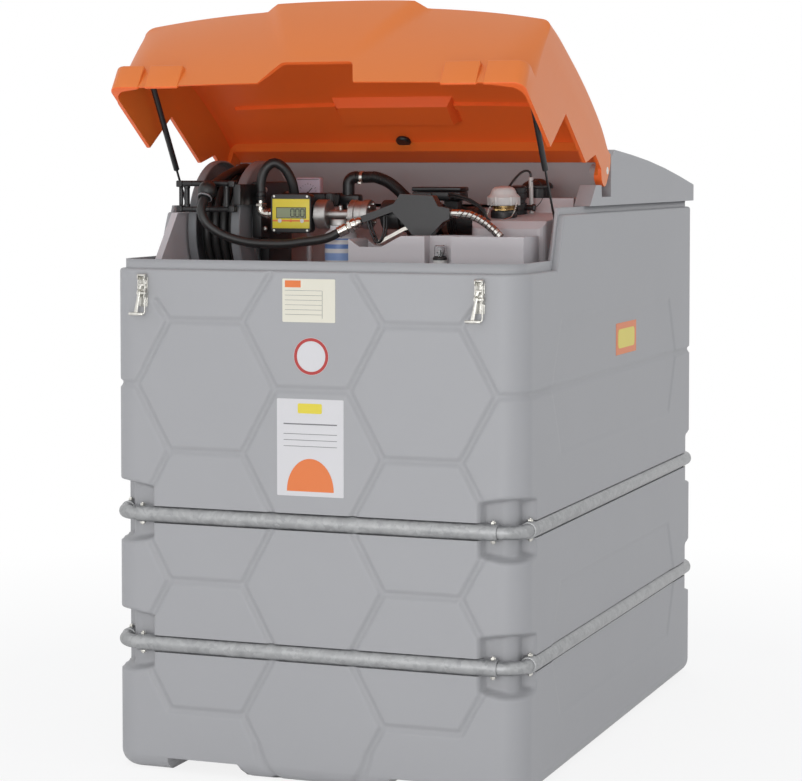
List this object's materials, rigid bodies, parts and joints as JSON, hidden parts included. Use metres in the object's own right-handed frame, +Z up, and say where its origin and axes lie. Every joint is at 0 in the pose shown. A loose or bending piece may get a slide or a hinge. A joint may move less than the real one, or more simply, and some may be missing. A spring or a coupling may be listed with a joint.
{
  "type": "bunded fuel tank",
  "caption": "Bunded fuel tank: grooved double-walled shell with pipe belts and fork slots, and a hinged lid over a bay with hose reel, pump, meter and nozzle.",
  "frame": {"origin": "bottom centre of the shell, on the floor under the middle of its footprint", "axes": "+X to the right as seen from the front, -Y towards the front with the lid opening, +Z up"},
  "size_m": [1.18, 1.832, 2.0588],
  "materials": {
    "grey_shell": "light grey moulded polyethylene, satin",
    "grey_tank": "light grey moulded polyethylene, satin",
    "orange_lid": "orange moulded polyethylene, satin",
    "galvanised": "galvanised tube, mottled",
    "zinc_steel": "zinc plated",
    "bright_steel": "ground and plated rod",
    "black_steel": "black powder coat",
    "black_iron": "black paint on castings",
    "nickel": "nickel plated",
    "black_plastic": "black moulded plastic",
    "pale_plastic": "pale moulded plastic",
    "white_can": "white painted can",
    "hose_rubber": "black rubber"
  },
  "bodies": {
    "shell": {"bund_shell": "grey_shell", "inner_tank": "grey_tank", "bay_deck": "grey_tank", "rear_cover": "grey_shell", "hinge_pin_left": "zinc_steel", "hinge_pin_right": "zinc_steel", "strut_pin_left": "zinc_steel", "strut_pin_right": "zinc_steel", "belt_upper_front": "galvanised", "belt_upper_back": "galvanised", "belt_upper_left": "galvanised", "belt_upper_right": "galvanised", "belt_lower_front": "galvanised", "belt_lower_back": "galvanised", "belt_lower_left": "galvanised", "belt_lower_right": "galvanised", "nozzle_tray": "grey_tank", "reel_bracket": "black_steel", "roller_frame": "black_steel", "hose_stop_ball": "hose_rubber", "dispensing_hose": "hose_rubber", "meter": "black_plastic", "feed_elbow": "nickel", "feed_hose": "hose_rubber", "outlet_pipe": "black_iron", "filter_head": "black_iron", "filter_can": "white_can", "pump_body": "black_iron", "pump_motor": "black_iron", "terminal_box": "black_plastic", "suction_hose": "hose_rubber", "suction_pipe": "black_plastic", "level_gauge": "pale_plastic", "fill_neck": "black_plastic", "fill_cap": "pale_plastic", "fill_sensor": "black_plastic", "level_tube": "pale_plastic", "vent_cap": "black_plastic", "leak_indicator": "pale_plastic", "hose_fitting": "nickel", "nozzle_body": "black_plastic", "nozzle_spout": "nickel", "latch_base_left": "zinc_steel", "latch_base_right": "zinc_steel"},
    "lid": {"lid": "orange_lid"},
    "strut_rod_left": {"strut_rod_left": "bright_steel"},
    "strut_rod_right": {"strut_rod_right": "bright_steel"},
    "strut_cylinder_left": {"strut_cylinder_left": "black_steel"},
    "strut_cylinder_right": {"strut_cylinder_right": "black_steel"},
    "latch_lever_left": {"latch_lever_left": "zinc_steel"},
    "latch_lever_right": {"latch_lever_right": "zinc_steel"},
    "guide_roller_left": {"guide_roller_left": "black_plastic"},
    "guide_roller_right": {"guide_roller_right": "black_plastic"},
    "nozzle_lever": {"nozzle_lever": "nickel"},
    "reel": {"reel_drum": "black_steel", "wound_hose": "hose_rubber"}
  },
  "joints": [
    {"name": "lid_hinge", "type": "hinge", "parent": "shell", "child": "lid", "pos_m": [0, -0.136, 1.606], "axis": [1, 0, 0], "range_deg": [0, 34]},
    {"name": "strut_foot_left", "type": "hinge", "parent": "shell", "child": "strut_rod_left", "pos_m": [-0.536, -0.366, 1.269], "axis": [1, 0, 0], "range_deg": [0, 31]},
    {"name": "strut_slide_left", "type": "slide", "parent": "strut_rod_left", "child": "strut_cylinder_left", "axis": [0, 0.5408, -0.8411], "range_m": [0, 0.237]},
    {"name": "strut_foot_right", "type": "hinge", "parent": "shell", "child": "strut_rod_right", "pos_m": [0.536, -0.366, 1.269], "axis": [1, 0, 0], "range_deg": [0, 31]},
    {"name": "strut_slide_right", "type": "slide", "parent": "strut_rod_right", "child": "strut_cylinder_right", "axis": [0, 0.5408, -0.8411], "range_m": [0, 0.237]},
    {"name": "reel_spin", "type": "hinge", "parent": "shell", "child": "reel", "pos_m": [-0.418, -0.41, 1.444], "axis": [1, 0, 0], "continuous": true},
    {"name": "roller_spin_left", "type": "hinge", "parent": "shell", "child": "guide_roller_left", "pos_m": [-0.484, -0.627, 1.5355], "axis": [0, 0, 1], "continuous": true},
    {"name": "roller_spin_right", "type": "hinge", "parent": "shell", "child": "guide_roller_right", "pos_m": [-0.364, -0.627, 1.5355], "axis": [0, 0, 1], "continuous": true},
    {"name": "latch_turn_left", "type": "hinge", "parent": "shell", "child": "latch_lever_left", "pos_m": [-0.482, -0.9123, 1.282], "axis": [-1, 0, 0], "range_deg": [0, 110]},
    {"name": "latch_turn_right", "type": "hinge", "parent": "shell", "child": "latch_lever_right", "pos_m": [0.463, -0.9123, 1.282], "axis": [-1, 0, 0], "range_deg": [0, 110]},
    {"name": "nozzle_trigger", "type": "hinge", "parent": "shell", "child": "nozzle_lever", "pos_m": [0.168, -0.6, 1.456], "axis": [0, 1, 0], "range_deg": [0, 20], "stiffness_Nm_per_rad": 1.5, "springref_deg": -14.32}
  ],
  "couplings": [
    {"joint": "strut_foot_left", "follows": "lid_hinge", "ratio": 0.91084},
    {"joint": "strut_slide_left", "follows": "lid_hinge", "m_per_rad": 0.39878},
    {"joint": "strut_foot_right", "follows": "lid_hinge", "ratio": 0.91084},
    {"joint": "strut_slide_right", "follows": "lid_hinge", "m_per_rad": 0.39878}
  ]
}
